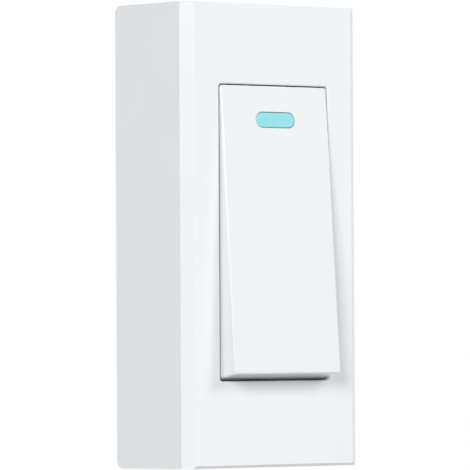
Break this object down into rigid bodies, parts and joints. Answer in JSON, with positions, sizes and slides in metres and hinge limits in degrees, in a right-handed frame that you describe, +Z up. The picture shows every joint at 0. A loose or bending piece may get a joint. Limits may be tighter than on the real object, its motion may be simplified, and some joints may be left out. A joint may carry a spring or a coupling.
{
  "type": "light switch",
  "caption": "Narrow surface-mounted light switch with a tall white beveled body, a flat full-width rocker tilted out at the bottom, and a small luminous marker near the rocker's top.",
  "frame": {"origin": "centre of the body's outline on the wall plane, where the base plate's rear face rests on the wall", "axes": "+Z up along the body's height, +Y into the wall, +X to the right seen from the front"},
  "size_m": [0.0406, 0.0268, 0.0866],
  "materials": {
    "white_body": "glossy white moulded plastic",
    "white_rocker": "glossy white moulded plastic",
    "luminous": "glossy pale cyan luminous plastic",
    "white_inner": "satin natural plastic",
    "white_plate": "satin white moulded plastic",
    "grey_module": "satin grey moulded plastic",
    "brass": "stamped brass",
    "contact_alloy": "bright silver contact alloy",
    "spring_steel": "drawn spring wire",
    "screw_steel": "zinc-plated steel"
  },
  "bodies": {
    "housing": {"front_cover": "white_body", "base_plate": "white_plate", "module_base": "grey_module", "module_lid": "grey_module", "supply_terminal": "brass", "load_terminal": "brass", "contact_fulcrum": "brass", "fixed_contact": "contact_alloy", "supply_screw": "screw_steel", "load_screw": "screw_steel", "supply_clamp": "screw_steel", "load_clamp": "screw_steel", "lower_module_screw": "screw_steel", "upper_module_screw": "screw_steel", "left_lid_screw": "screw_steel", "right_lid_screw": "screw_steel"},
    "rocker": {"rocker": "white_rocker", "luminous_marker": "luminous", "plunger_spring": "spring_steel"},
    "plunger": {"plunger": "white_inner"},
    "contact_lever": {"contact_lever": "brass", "moving_contact": "contact_alloy"}
  },
  "joints": [
    {"name": "rocker_pivot", "type": "hinge", "parent": "housing", "child": "rocker", "pos_m": [0, -0.0174, 0.0005], "axis": [1, 0, 0], "range_deg": [0, 9]},
    {"name": "contact_rock", "type": "hinge", "parent": "housing", "child": "contact_lever", "pos_m": [0, -0.0088, 0.0005], "axis": [1, 0, 0], "range_deg": [-19, 0]},
    {"name": "plunger_slide", "type": "slide", "parent": "rocker", "child": "plunger", "axis": [0, -0.9969, 0.0785], "range_m": [0, 0.0009], "stiffness_N_per_m": 300, "deforming": ["plunger_spring"]}
  ],
  "couplings": [
    {"joint": "contact_rock", "follows": "rocker_pivot", "ratio": -2.1111}
  ]
}
